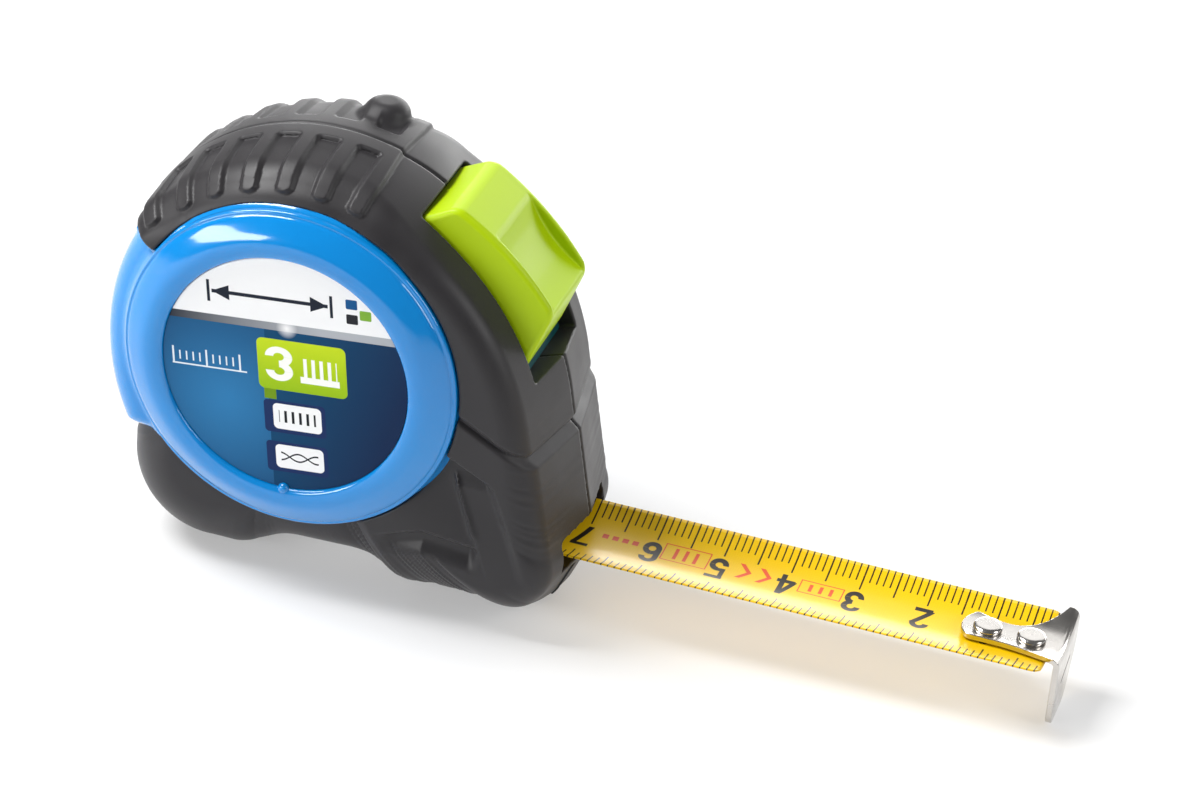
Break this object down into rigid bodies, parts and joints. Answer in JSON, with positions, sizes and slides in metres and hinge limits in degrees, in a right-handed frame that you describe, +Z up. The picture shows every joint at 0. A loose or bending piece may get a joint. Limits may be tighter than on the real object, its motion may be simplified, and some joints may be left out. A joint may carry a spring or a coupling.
{
  "type": "tape measure",
  "caption": "Pocket tape measure: two-part case with rubber grip, sliding lock, spring reel, curved blade pulled out a hand's width, riveted end hook and belt clip.",
  "frame": {"origin": "centre of the base of the box round the whole tape, on the surface that it stands on", "axes": "+X the way the blade is pulled out, +Z up, -Y the side of the main label, +Y the side of the belt clip"},
  "size_m": [0.14, 0.044, 0.0661],
  "materials": {
    "shell": "glossy blue ABS",
    "grip": "matt dark grey moulded-on rubber",
    "label": "printed film: white head, grey band, blue field",
    "post_steel": "turned steel",
    "screw_steel": "zinc plated, slightly dull",
    "clip_steel": "nickel plated spring steel",
    "nylon": "natural nylon",
    "bumper": "soft black rubber",
    "button": "satin lime green ABS",
    "slide_plastic": "dark teal acetal",
    "reel_plastic": "black moulded plastic",
    "tape_print": "yellow coated spring steel with black print",
    "spring_steel": "blued spring steel",
    "hook_plate": "nickel plated"
  },
  "bodies": {
    "case": {"case_left": "shell", "case_right": "shell", "grip_left": "grip", "grip_right": "grip", "label_left": "label", "label_right": "label", "center_post": "post_steel", "case_screws": "screw_steel", "belt_clip": "clip_steel", "belt_clip_screw": "screw_steel", "mouth_plate": "nylon", "hook_bumper": "bumper"},
    "reel": {"reel_drum": "reel_plastic", "reel_cover": "reel_plastic", "blade_coil": "tape_print", "power_spring": "spring_steel"},
    "blade": {"blade": "tape_print", "hook_rivets": "hook_plate"},
    "hook": {"end_hook": "hook_plate"},
    "lock": {"lock_button": "button", "lock_slide": "slide_plastic", "brake_shoe": "bumper"}
  },
  "joints": [
    {"name": "reel_spin", "type": "hinge", "parent": "case", "child": "reel", "pos_m": [-0.04086, -0.00329, 0.036], "axis": [0, -1, 0], "range_deg": [-185, 7880], "stiffness_Nm_per_rad": 0.00022, "springref_deg": -31512.68, "deforming": ["power_spring"]},
    {"name": "blade_slide", "type": "slide", "parent": "case", "child": "blade", "axis": [1, 0, 0], "range_m": [-0.0681, 2.893], "deforming": ["blade"]},
    {"name": "hook_play", "type": "slide", "parent": "blade", "child": "hook", "axis": [1, 0, 0], "range_m": [-0.0008, 0]},
    {"name": "lock_press", "type": "hinge", "parent": "case", "child": "lock", "pos_m": [-0.04566, -0.00329, 0.0249], "axis": [0, 1, 0], "range_deg": [0, 3]}
  ],
  "couplings": [
    {"joint": "blade_slide", "follows": "reel_spin", "m_per_rad": 0.02102}
  ]
}
